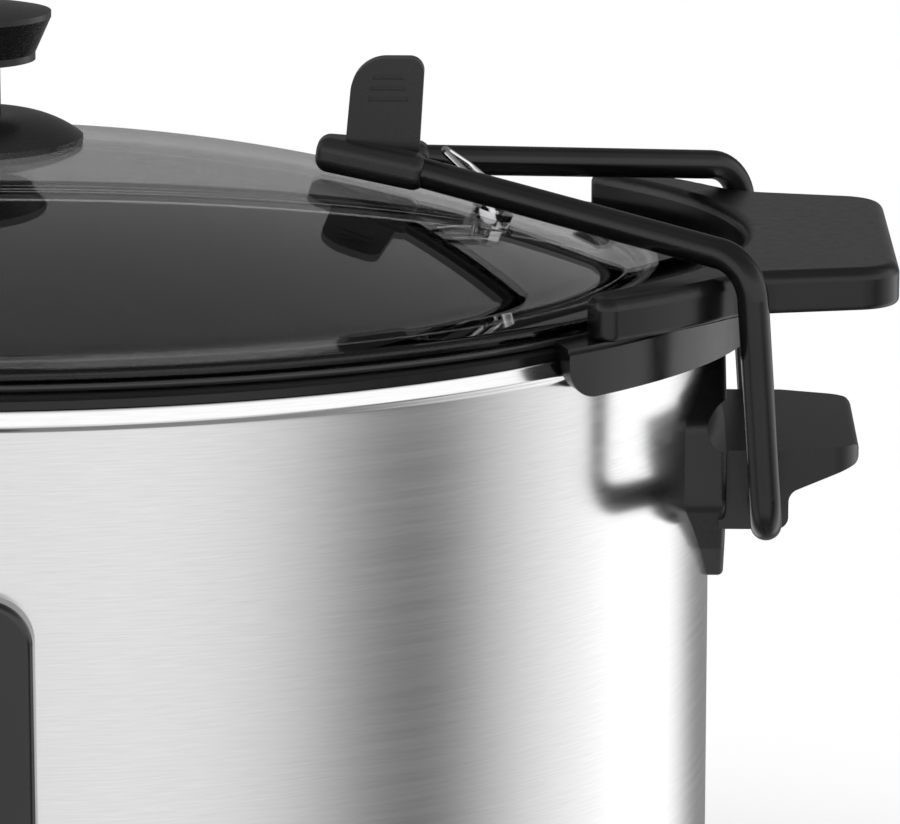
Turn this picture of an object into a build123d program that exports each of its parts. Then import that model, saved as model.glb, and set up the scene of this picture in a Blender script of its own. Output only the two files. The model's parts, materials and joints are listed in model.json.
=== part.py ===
from build123d import *
from math import atan2, cos, degrees, radians, sin, sqrt, tan
import os

os.makedirs("parts", exist_ok=True)

# The dial stands out at the front, so the oval sits back to keep the whole centred
oval_y = 9.0

# Heights above the table
foot_height = 8.0
tray_height = 12.0
shell_seat = 12.0
bead_crease = 196.4
bead_height = 3.5
rim_depth = 6.6
rim_rise = 1.7
ear_rise = 10.4
skirt_drop = 6.5

# Oval steel shell
shell_half_length = 155.9
shell_half_width = 129.5
shell_wall = 1.0
bead_bulge = 0.9
bead_round = 0.8
return_width = 2.6
return_wall = 1.0

# Base tray under the shell
tray_wall = 2.2
tray_floor = 2.5
tray_edge = 2.0
tray_gap = 0.3
ledge_width = 4.0
vent_length = 40.0
vent_width = 4.0
vent_pitch = 12.0
vent_spread = 130.0
vent_rows = 5
foot_radius = 11.0
foot_recess = 1.5
foot_edge = 1.5
foot_inset_length = 55.9
foot_inset_width = 54.5

# Liner that the crock stands in
liner_gap_length = 5.5
liner_gap_width = 13.5
liner_wall = 0.8
liner_floor_height = 34.0
liner_corner = 10.0
liner_flange_gap = 0.4

# Crock
crock_floor_gap = 2.5
crock_foot_gap_length = 17.4
crock_foot_gap_width = 16.0
crock_foot_corner = 12.0
crock_body_gap_length = 2.9
crock_body_gap_width = 2.5
crock_floor = 9.0
crock_foot_wall = 7.0
well_corner = 14.0
crock_wall_length = 6.5
crock_wall_width = 5.5
lip_overlap = 0.2
lip_gap = 0.1
rim_gap = 0.6

# Crock ears, skirts and tabs
ear_splay = 16.7
ear_setback = 46.9
ear_wall_length = 15.3
ear_wall_width = 3.5
ear_slab = 8.6
ear_edge = 2.4
ear_end_round = 3.0
recess_reach = 6.8
recess_inset = 12.0
skirt_setback = 54.4
skirt_reach_length = 10.1
skirt_reach_width = 4.5
skirt_corner = 6.5
skirt_gap = 0.8
groove_height = 1.0
groove_depth = 1.2
tab_overlap = 40.0
tab_reach = 15.5
tab_flare = 0.231
tab_tip_half_width = 42.0
tab_corner = 10.0
tab_root_round = 15.0
tab_under_edge = 1.2

# Lid
lid_inset_length = 0.4
lid_inset_width = 7.5
lid_rest_gap = 0.3
gasket_thickness = 1.2
gasket_inset = 1.5
gasket_width = 9.0
glass_thickness = 2.8
glass_edge = 1.1
dome_height = 25.0
dome_radius = 380.0
blend_radius = 20.0

# Lid knob
knob_base_radius = 24.7
knob_base_rim = 1.7
knob_base_rise = 5.2
knob_base_top_radius = 10.0
knob_base_sink = 1.6
knob_seat_gap = 0.02
knob_stem_radius = 7.6
knob_stem_height = 11.0
knob_under_radius = 15.0
knob_under_edge = 1.5
knob_top_radius = 18.4
knob_flare = 7.4
knob_top_edge = 1.2
knob_crown = 2.0
knob_screw_radius = 2.5
knob_screw_head_radius = 5.0
knob_screw_head = 2.2
knob_screw_length = 20.0
washer_radius = 9.0
washer_thickness = 1.0
screw_play = 0.2

# Port stud and pull ring
port_inset = 45.5
port_radius = 3.0
port_flange_radius = 4.4
port_flange = 1.4
port_neck_radius = 2.5
port_neck = 1.6
port_cap_radius = 3.4
port_cap = 3.4
plug_radius = 2.2
plug_rise = 0.8
port_tail = 4.0
port_nut_across = 9.0
port_nut_height = 2.4
port_nut_gap = 0.08
ring_half_width = 5.8
ring_shoulder = 8.0
ring_shoulder_round = 4.0
ring_top_half_width = 1.4
ring_top_round = 2.2
ring_length = 14.4
ring_corner = 1.2
ring_wire_radius = 0.8
ring_lean = 50.0
ring_play = 0.08

# Wire bail
wire_radius = 3.15
hinge_reach = 7.6
hinge_drop = 51.0
bail_half_span = 58.0
bend_setback = 3.8
bend_rise = 3.9
arm_reach = 78.2
apex_rise = 14.6
pin_bend_radius = 7.0
arm_bend_radius = 9.0
apex_bend_radius = 5.0
pin_inner_end = 21.0
wire_play = 0.05

# Thumb grip moulded round the bail's tip
grip_nose = 11.2
grip_nose_half_width = 4.2
grip_tail = 12.4
grip_side = 4.6
grip_notch = 4.6
grip_half_height = 3.7
grip_edge = 2.9
grip_corner_round = 2.6
fin_foot_setback = 5.4
fin_tail_reach = 10.4
fin_thickness = 5.0
fin_foot_rise = 13.2
fin_tail_rise = 16.4
fin_rise = 36.0
fin_lean = 2.2
fin_tail_lean = 1.2
fin_big_corner = 7.5
fin_small_corner = 3.0
fin_groove_reach = 4.0
fin_groove_length = 6.2
fin_groove_growth = 1.0
fin_groove_height = 0.9
fin_groove_depth = 0.5
fin_groove_pitch = 2.3
fin_groove_drop = 3.9
fin_groove_count = 3

# Side handle
plate_thickness = 3.1
plate_wrap = 19.0
plate_top_drop = 20.5
plate_bottom_drop = 72.5
leg_half_width = 8.0
plate_half_width = 34.0
plate_wide_top = 34.0
plate_wide_bottom = 52.0
plate_mid_half_width = 21.0
plate_mid_drop = 63.5
plate_corner = 4.0
plate_edge = 1.2
grip_drop = 40.5
grip_reach = 27.5
grip_tip_thickness = 4.0
grip_root_drop = 49.4
grip_root_half_width = 30.5
grip_tip_half_width = 25.0
grip_corner = 8.0
scoop_radius = 5.2
scoop_depth = 2.0
scoop_bend = 290.0
block_overlap = 1.5
block_round = 2.6
grip_tip_round = 1.6
block_reach = 12.8
block_bottom_drop = 57.0
block_half_width = 30.5
bush_radius = 4.2
bush_length = 10.0
pin_play = 0.06
handle_screw_radius = 2.0
handle_screw_head_radius = 3.6
handle_screw_head = 1.6
handle_screw_seat = 0.1
handle_screw_bite = 2.2
handle_screw_drops = (27.5, 65.5)

# Front control panel
panel_width = 54.0
panel_top = 164.5
panel_bottom = 53.0
panel_corner = 9.0
panel_proud = 5.0
panel_edge = 1.5
lens_height = 132.0
lens_radius = 3.0
lens_length = 7.5
lens_dome = 0.8

# Dial and switch
dial_height = 92.0
dial_radius = 20.0
dial_depth = 15.0
dial_skirt = 4.0
dial_gap = 0.5
dial_bar_half_width = 4.5
dial_bar_length = 36.0
dial_bar_edge = 2.0
pointer_width = 2.0
pointer_length = 9.0
pointer_depth = 1.0
pointer_inset = 2.5
shaft_radius = 3.0
shaft_play = 0.06
shaft_bite = 9.0
shaft_tail = 6.0
switch_size = 28.0
switch_depth = 9.0
switch_setback = 0.7
switch_neck_radius = 5.0

# Heater, shield and wiring pieces
band_bottom = 52.0
band_height = 30.0
band_thickness = 1.5
band_gap = 0.05
shield_gap_length = 37.9
shield_gap_width = 43.5
shield_thickness = 0.8
shield_height = 22.0
bolt_radius = 3.0
bolt_head_radius = 10.0
bolt_head = 1.5
bolt_tail = 1.0
nut_across = 10.0
nut_height = 4.5
spacer_radius = 5.0
bolt_play = 0.2
fuse_length = 18.0
fuse_depth = 6.0
fuse_height = 6.0
fuse_edge = 1.5
terminal_length = 34.0
terminal_width = 14.0
terminal_height = 9.0
terminal_inset = 37.5
terminal_hole_radius = 1.6
terminal_pitch = 10.0
grommet_height = 34.0
grommet_radius = 7.0
grommet_bore = 4.0
grommet_flange_radius = 10.0
grommet_flange = 2.2
grommet_edge = 0.8
grommet_tail = 4.0
cut_length = 300.0
screw_cut_room = 2.0

# Levels worked out from the heights
tray_top = foot_height + tray_height
floor_top = foot_height + tray_floor
bead_top = bead_crease + bead_height
rim_top = bead_top + rim_rise
rim_seat = rim_top - rim_depth
lip_bottom = bead_top + lip_gap
liner_bottom = liner_floor_height - liner_wall
return_bottom = rim_seat - liner_wall - return_wall
crock_bottom = liner_floor_height + crock_floor_gap
ear_top = rim_top + ear_rise
slab_bottom = ear_top - ear_slab
skirt_bottom = bead_top - skirt_drop
gasket_bottom = rim_top + lid_rest_gap
flange_bottom = gasket_bottom + gasket_thickness
flange_top = flange_bottom + glass_thickness
dome_top = flange_top + dome_height
hinge_z = ear_top - hinge_drop
bend_z = ear_top + bend_rise
apex_z = ear_top + apex_rise
panel_middle = (panel_top + panel_bottom) / 2
bolt_head_bottom = liner_bottom - bolt_head

# Ovals worked out from the shell
liner_half_length = shell_half_length - liner_gap_length
liner_half_width = shell_half_width - liner_gap_width
crock_foot_half_length = liner_half_length - crock_foot_gap_length
crock_foot_half_width = liner_half_width - crock_foot_gap_width
crock_body_half_length = liner_half_length - crock_body_gap_length
crock_body_half_width = liner_half_width - crock_body_gap_width
well_foot_half_length = crock_foot_half_length - crock_foot_wall
well_foot_half_width = crock_foot_half_width - crock_foot_wall
mouth_half_length = crock_body_half_length - crock_wall_length
mouth_half_width = crock_body_half_width - crock_wall_width
recess_half_length = shell_half_length + recess_reach
recess_half_width = shell_half_width - recess_inset
ear_start = shell_half_length - ear_setback
ear_half_length = recess_half_length + ear_wall_length
ear_half_width = recess_half_width + ear_wall_width
skirt_start = shell_half_length - skirt_setback
skirt_half_length = shell_half_length + skirt_reach_length
skirt_half_width = shell_half_width + skirt_reach_width
tab_root = ear_half_length - tab_overlap
tab_tip = ear_half_length + tab_reach
tab_root_half_width = tab_tip_half_width + (tab_tip - tab_root) * tab_flare
lid_half_length = shell_half_length - lid_inset_length
lid_half_width = shell_half_width - lid_inset_width
shield_half_length = shell_half_length - shield_gap_length
shield_half_width = shell_half_width - shield_gap_width
foot_spacing_x = 2 * (shell_half_length - foot_inset_length)
foot_spacing_y = 2 * (shell_half_width - foot_inset_width)
terminal_y = shell_half_width - terminal_inset

# Places along the long axis of the handle, the bail, the grip and the port
plate_face = shell_half_length + plate_thickness
plate_root = plate_face - plate_wrap
block_root = plate_face - block_overlap
block_outer = plate_face + block_reach
grip_tip = plate_face + grip_reach
hinge_x = plate_face + hinge_reach
bend_x = hinge_x - bend_setback
apex_x = bend_x - arm_reach
fin_foot_x = apex_x - fin_foot_setback
fin_tail_x = apex_x + fin_tail_reach
fin_groove_x = apex_x + fin_groove_reach
port_x = lid_half_length - port_inset

# Widths worked out from the shell and the lid
shell_in_length = shell_half_length - shell_wall
shell_in_width = shell_half_width - shell_wall
liner_out_length = liner_half_length + liner_wall
liner_out_width = liner_half_width + liner_wall
hollow_length = shell_half_length + bead_bulge + skirt_gap
hollow_width = shell_half_width + bead_bulge + skirt_gap
lid_squeeze = lid_half_width / lid_half_length
panel_front = shell_half_width + panel_proud
dial_back = panel_front + dial_gap
dial_front = dial_back + dial_depth

# Lid arc: the dome circle and the flange meet through a tangent blend circle
dome_center = dome_top - dome_radius
blend_center = flange_top + blend_radius
blend_x = sqrt((dome_radius + blend_radius) ** 2 - (blend_center - dome_center) ** 2)
dome_turn = degrees(atan2(blend_x, blend_center - dome_center))

# Planes through the middle of the oval
level = Plane((0, oval_y, 0))
front = Plane((0, oval_y, 0), x_dir=(1, 0, 0), z_dir=(0, -1, 0))
side = Plane((0, oval_y, 0), x_dir=(0, 1, 0), z_dir=(1, 0, 0))

# Plane standing on the dome at the port, square to the glass
port_tilt = atan2(port_x, sqrt(dome_radius**2 - port_x**2))
port_point = (port_x, oval_y, dome_center + dome_radius * cos(port_tilt))
port_plane = Plane(
    port_point,
    x_dir=(cos(port_tilt), 0, -sin(port_tilt)),
    z_dir=(sin(port_tilt), 0, cos(port_tilt)),
)
ring_hole = port_flange + port_neck + port_cap / 2
ring_pivot = port_plane.from_local_coords((0, 0, ring_hole))
port_height = port_flange + port_neck + port_cap

# Plane of the bail's two arms, with its origin at the tip
arm_plane = Plane(
    (apex_x, oval_y, apex_z),
    x_dir=(bend_x - apex_x, 0, bend_z - apex_z),
    z_dir=(apex_z - bend_z, 0, bend_x - apex_x),
)
arm_slope = bail_half_span / sqrt((bend_x - apex_x) ** 2 + (bend_z - apex_z) ** 2)


# Oval block standing on a level
def oval(half_length, half_width, bottom, height, mode=Mode.ADD):
    with BuildSketch(level.offset(bottom)) as plan:
        Ellipse(half_length, half_width)
    extrude(plan.sketch, amount=height, mode=mode)


# Right-hand end of an oval, cut off along two splayed lines
def oval_end(half_length, half_width, start):
    splay_x = start + half_width * tan(radians(ear_splay))
    Ellipse(half_length, half_width)
    Polygon(
        (start, 0),
        (splay_x, half_width),
        (start + half_length, half_width),
        (start + half_length, -half_width),
        (splay_x, -half_width),
        align=None,
        mode=Mode.INTERSECT,
    )


# Centre line of the right-hand bail wire
def bail_path():
    near = oval_y - bail_half_span
    far = oval_y + bail_half_span
    return FilletPolyline(
        (hinge_x, oval_y - pin_inner_end, hinge_z),
        (hinge_x, near, hinge_z),
        (bend_x, near, bend_z),
        (apex_x, oval_y, apex_z),
        (bend_x, far, bend_z),
        (hinge_x, far, hinge_z),
        (hinge_x, oval_y + pin_inner_end, hinge_z),
        radius=[
            pin_bend_radius,
            arm_bend_radius,
            apex_bend_radius,
            arm_bend_radius,
            pin_bend_radius,
        ],
    )


# Outer shell with its rolled bead and the inward return that carries the liner
with BuildPart() as outer_shell:
    oval(shell_half_length, shell_half_width, shell_seat, bead_top - shell_seat)
    oval(shell_half_length + bead_bulge, shell_half_width + bead_bulge, bead_crease, bead_height)
    bead_faces = outer_shell.faces().filter_by(Plane.XY).sort_by(Axis.Z)
    fillet(bead_faces[-1].edges() + bead_faces[-2].outer_wire().edges(), bead_round)
    oval(shell_in_length, shell_in_width, shell_seat, bead_top - shell_seat, Mode.SUBTRACT)
    oval(shell_in_length, shell_in_width, return_bottom, return_wall)
    oval(
        shell_in_length - return_width,
        shell_in_width - return_width,
        return_bottom,
        return_wall,
        Mode.SUBTRACT,
    )
    for wall_start in (shell_in_length - screw_cut_room, -shell_half_length - screw_cut_room):
        for drop in handle_screw_drops:
            with BuildSketch(side.offset(wall_start)):
                with Locations((0, ear_top - drop)):
                    Circle(handle_screw_radius + screw_play)
            extrude(amount=shell_half_length - shell_in_length + 2 * screw_cut_room, mode=Mode.SUBTRACT)
    with BuildSketch(front):
        with Locations((0, dial_height)):
            Circle(switch_neck_radius + screw_play)
        with Locations((0, lens_height)):
            Circle(lens_radius + screw_play)
    extrude(amount=cut_length, mode=Mode.SUBTRACT)
    with BuildSketch(front):
        with Locations((0, grommet_height)):
            Circle(grommet_radius)
    extrude(amount=-cut_length, mode=Mode.SUBTRACT)
outer_shell.part.label = "outer_shell"
export_step(outer_shell.part, "parts/outer_shell.step")

# Base tray: the shell stands on its ledge
with BuildPart() as base_tray:
    oval(
        shell_half_length + tray_gap + tray_wall,
        shell_half_width + tray_gap + tray_wall,
        foot_height,
        tray_height,
    )
    fillet(base_tray.faces().sort_by(Axis.Z)[0].edges(), tray_edge)
    oval(
        shell_half_length + tray_gap,
        shell_half_width + tray_gap,
        shell_seat,
        tray_top - shell_seat,
        Mode.SUBTRACT,
    )
    oval(
        shell_half_length - ledge_width,
        shell_half_width - ledge_width,
        floor_top,
        tray_top - floor_top,
        Mode.SUBTRACT,
    )
    with BuildSketch(level.offset(foot_height)):
        with GridLocations(vent_spread, vent_pitch, 2, vent_rows):
            SlotOverall(vent_length, vent_width)
        Circle(bolt_radius + bolt_play)
    extrude(amount=tray_floor, mode=Mode.SUBTRACT)
    with BuildSketch(level.offset(foot_height)):
        with GridLocations(foot_spacing_x, foot_spacing_y, 2, 2):
            Circle(foot_radius)
    extrude(amount=foot_recess, mode=Mode.SUBTRACT)
base_tray.part.label = "base_tray"
export_step(base_tray.part, "parts/base_tray.step")

# Four feet set into the tray
with BuildPart() as rubber_feet:
    with BuildSketch(level):
        with GridLocations(foot_spacing_x, foot_spacing_y, 2, 2):
            Circle(foot_radius)
    extrude(amount=foot_height + foot_recess)
    fillet(rubber_feet.edges().group_by(Axis.Z)[0], foot_edge)
rubber_feet.part.label = "rubber_feet"
export_step(rubber_feet.part, "parts/rubber_feet.step")

# Room inside the liner
with BuildPart() as liner_room:
    oval(
        liner_half_length,
        liner_half_width,
        liner_floor_height,
        rim_seat - liner_floor_height,
    )
    fillet(liner_room.faces().sort_by(Axis.Z)[0].edges(), liner_corner)

# Metal well that carries the crock's rim
with BuildPart() as heating_liner:
    oval(liner_out_length, liner_out_width, liner_bottom, rim_seat - liner_bottom)
    fillet(heating_liner.faces().sort_by(Axis.Z)[0].edges(), liner_corner + liner_wall)
    oval(
        shell_in_length - liner_flange_gap,
        shell_in_width - liner_flange_gap,
        rim_seat - liner_wall,
        liner_wall,
    )
    add(liner_room.part, mode=Mode.SUBTRACT)
heating_liner.part.label = "heating_liner"
export_step(heating_liner.part, "parts/heating_liner.step")

# Heater wrapped round the liner
with BuildPart() as heater_band:
    oval(
        liner_out_length + band_gap + band_thickness,
        liner_out_width + band_gap + band_thickness,
        band_bottom,
        band_height,
    )
    oval(
        liner_out_length + band_gap,
        liner_out_width + band_gap,
        band_bottom,
        band_height,
        Mode.SUBTRACT,
    )
heater_band.part.label = "heater_band"
export_step(heater_band.part, "parts/heater_band.step")

# Heat shield between the liner and the tray
with BuildPart() as heat_shield:
    oval(shield_half_length, shield_half_width, shield_height, shield_thickness)
    with BuildSketch(level.offset(shield_height)):
        Circle(bolt_radius + bolt_play)
    extrude(amount=shield_thickness, mode=Mode.SUBTRACT)
heat_shield.part.label = "heat_shield"
export_step(heat_shield.part, "parts/heat_shield.step")

# Bolt welded under the liner, the nut under the tray and the tubes that space the shield
with BuildPart() as center_bolt:
    with BuildSketch(level.offset(bolt_head_bottom)):
        Circle(bolt_head_radius)
    extrude(amount=bolt_head)
    with BuildSketch(level.offset(bolt_head_bottom)):
        Circle(bolt_radius)
    extrude(amount=foot_height - nut_height - bolt_tail - bolt_head_bottom)
center_bolt.part.label = "center_bolt"
export_step(center_bolt.part, "parts/center_bolt.step")

with BuildPart() as center_nut:
    with BuildSketch(level.offset(foot_height)):
        RegularPolygon(nut_across / 2, 6, major_radius=False)
        Circle(bolt_radius, mode=Mode.SUBTRACT)
    extrude(amount=-nut_height)
center_nut.part.label = "center_nut"
export_step(center_nut.part, "parts/center_nut.step")

with BuildPart() as spacer_tubes:
    with BuildSketch(level.offset(floor_top)):
        Circle(spacer_radius)
        Circle(bolt_radius + bolt_play, mode=Mode.SUBTRACT)
    extrude(amount=shield_height - floor_top)
    with BuildSketch(level.offset(shield_height + shield_thickness)):
        Circle(spacer_radius)
        Circle(bolt_radius + bolt_play, mode=Mode.SUBTRACT)
    extrude(amount=bolt_head_bottom - shield_height - shield_thickness)
spacer_tubes.part.label = "spacer_tubes"
export_step(spacer_tubes.part, "parts/spacer_tubes.step")

# Heat cut-out clipped on the back of the heater
with BuildPart() as thermal_fuse:
    with BuildSketch(level.offset(band_bottom + band_height / 2 - fuse_height / 2)):
        with Locations((0, liner_out_width + band_gap + band_thickness)):
            Rectangle(fuse_length, fuse_depth, align=(Align.CENTER, Align.MIN))
    extrude(amount=fuse_height)
    fillet(thermal_fuse.faces().sort_by(Axis.Y)[-1].edges(), fuse_edge)
thermal_fuse.part.label = "thermal_fuse"
export_step(thermal_fuse.part, "parts/thermal_fuse.step")

# Terminal block on the tray floor
with BuildPart() as terminal_block:
    with BuildSketch(level.offset(floor_top)):
        with Locations((0, terminal_y)):
            Rectangle(terminal_length, terminal_width)
    extrude(amount=terminal_height)
    with BuildSketch(front.offset(-terminal_y)):
        with Locations((0, floor_top + terminal_height / 2)):
            with GridLocations(terminal_pitch, 1, 3, 1):
                Circle(terminal_hole_radius)
    extrude(amount=terminal_width, both=True, mode=Mode.SUBTRACT)
terminal_block.part.label = "terminal_block"
export_step(terminal_block.part, "parts/terminal_block.step")

# Inlet grommet at the back of the shell
with BuildPart() as cord_grommet:
    with BuildSketch(front.offset(-shell_half_width)):
        with Locations((0, grommet_height)):
            Circle(grommet_flange_radius)
    extrude(amount=-grommet_flange)
    fillet(cord_grommet.edges().group_by(Axis.Y)[-1], grommet_edge)
    with BuildSketch(front.offset(-shell_half_width)):
        with Locations((0, grommet_height)):
            Circle(grommet_radius)
    extrude(amount=grommet_tail)
    with BuildSketch(front.offset(-shell_half_width)):
        with Locations((0, grommet_height)):
            Circle(grommet_bore)
    extrude(amount=grommet_tail, both=True, mode=Mode.SUBTRACT)
cord_grommet.part.label = "cord_grommet"
export_step(cord_grommet.part, "parts/cord_grommet.step")

# One raised ear: slab with its tab, and the skirt that hangs outside the bead
with BuildPart() as ear:
    with BuildSketch(level.offset(slab_bottom)) as slab_plan:
        oval_end(ear_half_length, ear_half_width, ear_start)
        Polygon(
            (tab_root, -tab_root_half_width),
            (tab_tip, -tab_tip_half_width),
            (tab_tip, tab_tip_half_width),
            (tab_root, tab_root_half_width),
            align=None,
        )
        fillet(slab_plan.vertices().group_by(Axis.X)[-2], tab_root_round)
        fillet(slab_plan.vertices().group_by(Axis.X)[-1], tab_corner)
        Ellipse(recess_half_length, recess_half_width, mode=Mode.SUBTRACT)
        fillet(slab_plan.vertices().sort_by(Axis.X)[:4], ear_end_round)
    extrude(amount=ear_slab)
    slab_faces = ear.faces().filter_by(Plane.XY).sort_by(Axis.Z)
    fillet(slab_faces[-1].edges(), ear_edge)
    fillet(ear.faces().filter_by(Plane.XY).sort_by(Axis.Z)[0].edges(), tab_under_edge)
    with BuildSketch(level.offset(skirt_bottom)):
        oval_end(skirt_half_length, skirt_half_width, skirt_start)
    extrude(amount=slab_bottom - groove_height - skirt_bottom)
    skirt_ends = ear.edges().filter_by(GeomType.LINE).group_by(Axis.Z)[0]
    fillet(skirt_ends, skirt_corner)
    with BuildSketch(level.offset(slab_bottom - groove_height)):
        oval_end(skirt_half_length - groove_depth, skirt_half_width - groove_depth, skirt_start)
    extrude(amount=groove_height)
    oval(recess_half_length, recess_half_width, rim_top, slab_bottom - rim_top, Mode.SUBTRACT)
    oval(hollow_length, hollow_width, skirt_bottom, lip_bottom - skirt_bottom, Mode.SUBTRACT)

# Room inside the crock
with BuildPart() as crock_well:
    with BuildSketch(level.offset(crock_bottom + crock_floor)):
        Ellipse(well_foot_half_length, well_foot_half_width)
    with BuildSketch(level.offset(rim_top)):
        Ellipse(mouth_half_length, mouth_half_width)
    loft()
    fillet(crock_well.faces().sort_by(Axis.Z)[0].edges(), well_corner)

# Crock: tapered pot, nested rim, lip over the bead and the two ears
with BuildPart() as crock:
    with BuildSketch(level.offset(crock_bottom)):
        Ellipse(crock_foot_half_length, crock_foot_half_width)
    with BuildSketch(level.offset(rim_seat)):
        Ellipse(crock_body_half_length, crock_body_half_width)
    loft()
    fillet(crock.faces().sort_by(Axis.Z)[0].edges(), crock_foot_corner)
    oval(shell_in_length - rim_gap, shell_in_width - rim_gap, rim_seat, rim_depth)
    oval(
        shell_half_length + lip_overlap,
        shell_half_width + lip_overlap,
        lip_bottom,
        rim_top - lip_bottom,
    )
    add(ear.part)
    mirror(ear.part, about=Plane.YZ)
    add(crock_well.part, mode=Mode.SUBTRACT)
crock.part.label = "crock"
export_step(crock.part, "parts/crock.step")

# Round lid shape, squeezed to the oval afterwards
with BuildPart() as lid_form:
    with BuildSketch(Plane.XZ) as lid_section:
        with BuildLine():
            CenterArc((0, dome_center), dome_radius, 90, -dome_turn)
            CenterArc((blend_x, blend_center), blend_radius, 270 - dome_turn, dome_turn)
            Polyline(
                (blend_x, flange_top),
                (lid_half_length, flange_top),
                (lid_half_length, flange_bottom),
                (blend_x, flange_bottom),
            )
            CenterArc(
                (blend_x, blend_center), blend_radius + glass_thickness, 270 - dome_turn, dome_turn
            )
            CenterArc((0, dome_center), dome_radius - glass_thickness, 90, -dome_turn)
            Line((0, dome_top), (0, dome_top - glass_thickness))
        make_face()
        fillet(lid_section.vertices().group_by(Axis.X)[-1], glass_edge)
    revolve(axis=Axis.Z)
    scale(by=(1, lid_squeeze, 1))

with BuildPart() as lid_glass:
    with Locations((0, oval_y, 0)):
        add(lid_form.part)
    with BuildSketch(level):
        Circle(knob_screw_radius + screw_play)
    extrude(amount=cut_length, mode=Mode.SUBTRACT)
    with BuildSketch(port_plane):
        Circle(port_radius + screw_play)
    extrude(amount=2 * glass_thickness, both=True, mode=Mode.SUBTRACT)
lid_glass.part.label = "lid_glass"
export_step(lid_glass.part, "parts/lid_glass.step")

# Gasket under the flange
with BuildPart() as lid_gasket:
    oval(
        lid_half_length - gasket_inset,
        lid_half_width - gasket_inset,
        gasket_bottom,
        gasket_thickness,
    )
    oval(
        lid_half_length - gasket_inset - gasket_width,
        lid_half_width - gasket_inset - gasket_width,
        gasket_bottom,
        gasket_thickness,
        Mode.SUBTRACT,
    )
lid_gasket.part.label = "lid_gasket"
export_step(lid_gasket.part, "parts/lid_gasket.step")

# Disc under the knob, its underside following the dome
knob_base_top = dome_top + knob_base_rise
with BuildPart() as knob_base:
    with BuildSketch(front):
        with BuildLine():
            Polyline(
                (0, knob_base_top),
                (0, dome_top - knob_base_sink),
                (knob_base_radius, dome_top - knob_base_sink),
                (knob_base_radius, dome_top - knob_base_sink + knob_base_rim),
            )
            TangentArc(
                (knob_base_top_radius, knob_base_top),
                (knob_base_radius, dome_top - knob_base_sink + knob_base_rim),
                tangent=(1, 0),
            )
            Line((knob_base_top_radius, knob_base_top), (0, knob_base_top))
        make_face()
    revolve(axis=Axis((0, oval_y, 0), (0, 0, 1)))
    with Locations((0, oval_y, knob_seat_gap)):
        add(lid_form.part, mode=Mode.SUBTRACT)
    with BuildSketch(level):
        Circle(knob_screw_radius + screw_play)
    extrude(amount=cut_length, mode=Mode.SUBTRACT)
knob_base.part.label = "knob_base"
export_step(knob_base.part, "parts/knob_base.step")

# Mushroom knob
knob_under = knob_base_top + knob_stem_height
knob_rim = knob_under + knob_under_edge + knob_flare
screw_top = dome_top - glass_thickness - washer_thickness + knob_screw_length
with BuildPart() as lid_knob:
    with BuildSketch(front):
        with BuildLine():
            Polyline(
                (0, knob_base_top),
                (knob_stem_radius, knob_base_top),
                (knob_stem_radius, knob_under),
                (knob_under_radius, knob_under),
                (knob_under_radius, knob_under + knob_under_edge),
                (knob_top_radius, knob_rim),
                (knob_top_radius, knob_rim + knob_top_edge),
            )
            top_start = (knob_top_radius, knob_rim + knob_top_edge)
            top_end = (0, knob_rim + knob_top_edge + knob_crown)
            TangentArc(top_end, top_start, tangent=(1, 0))
            Line(top_end, (0, knob_base_top))
        make_face()
    revolve(axis=Axis((0, oval_y, 0), (0, 0, 1)))
    with BuildSketch(level.offset(knob_base_top)):
        Circle(knob_screw_radius)
    extrude(amount=screw_top - knob_base_top, mode=Mode.SUBTRACT)
lid_knob.part.label = "lid_knob"
export_step(lid_knob.part, "parts/lid_knob.step")

# Screw and washer that hold the knob from under the glass
washer_top = dome_top - glass_thickness
washer_bottom = washer_top - washer_thickness
with BuildPart() as knob_washer:
    with BuildSketch(level.offset(washer_bottom)):
        Circle(washer_radius)
        Circle(knob_screw_radius + screw_play, mode=Mode.SUBTRACT)
    extrude(amount=washer_thickness)
    with Locations((0, oval_y, -knob_seat_gap)):
        add(lid_form.part, mode=Mode.SUBTRACT)
knob_washer.part.label = "knob_washer"
export_step(knob_washer.part, "parts/knob_washer.step")

with BuildPart() as knob_screw:
    with BuildSketch(level.offset(washer_bottom)):
        Circle(knob_screw_head_radius)
    extrude(amount=-knob_screw_head)
    with BuildSketch(level.offset(washer_bottom)):
        Circle(knob_screw_radius)
    extrude(amount=knob_screw_length)
knob_screw.part.label = "knob_screw"
export_step(knob_screw.part, "parts/knob_screw.step")

# Stud in the lid port, cross-drilled for the pull ring
with BuildPart() as port_bushing:
    with BuildSketch(port_plane):
        Circle(port_flange_radius)
    extrude(amount=port_flange)
    with BuildSketch(port_plane.offset(port_flange)):
        Circle(port_neck_radius)
    extrude(amount=port_neck)
    with BuildSketch(port_plane.offset(port_flange + port_neck)):
        Circle(port_cap_radius)
    extrude(amount=port_cap)
    with BuildSketch(port_plane):
        Circle(port_radius)
    extrude(amount=-glass_thickness - port_tail)
    with BuildSketch(Plane(ring_pivot, z_dir=(0, 1, 0))):
        Circle(ring_wire_radius + ring_play)
    extrude(amount=2 * port_cap_radius, both=True, mode=Mode.SUBTRACT)
port_bushing.part.label = "port_bushing"
export_step(port_bushing.part, "parts/port_bushing.step")

with BuildPart() as port_plug:
    with BuildSketch(port_plane.offset(port_height)):
        Circle(plug_radius)
    extrude(amount=plug_rise)
port_plug.part.label = "port_plug"
export_step(port_plug.part, "parts/port_plug.step")

with BuildPart() as port_nut:
    with BuildSketch(port_plane.offset(-glass_thickness - port_nut_gap)):
        RegularPolygon(port_nut_across / 2, 6, major_radius=False)
        Circle(port_radius, mode=Mode.SUBTRACT)
    extrude(amount=-port_nut_height)
port_nut.part.label = "port_nut"
export_step(port_nut.part, "parts/port_nut.step")

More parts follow.
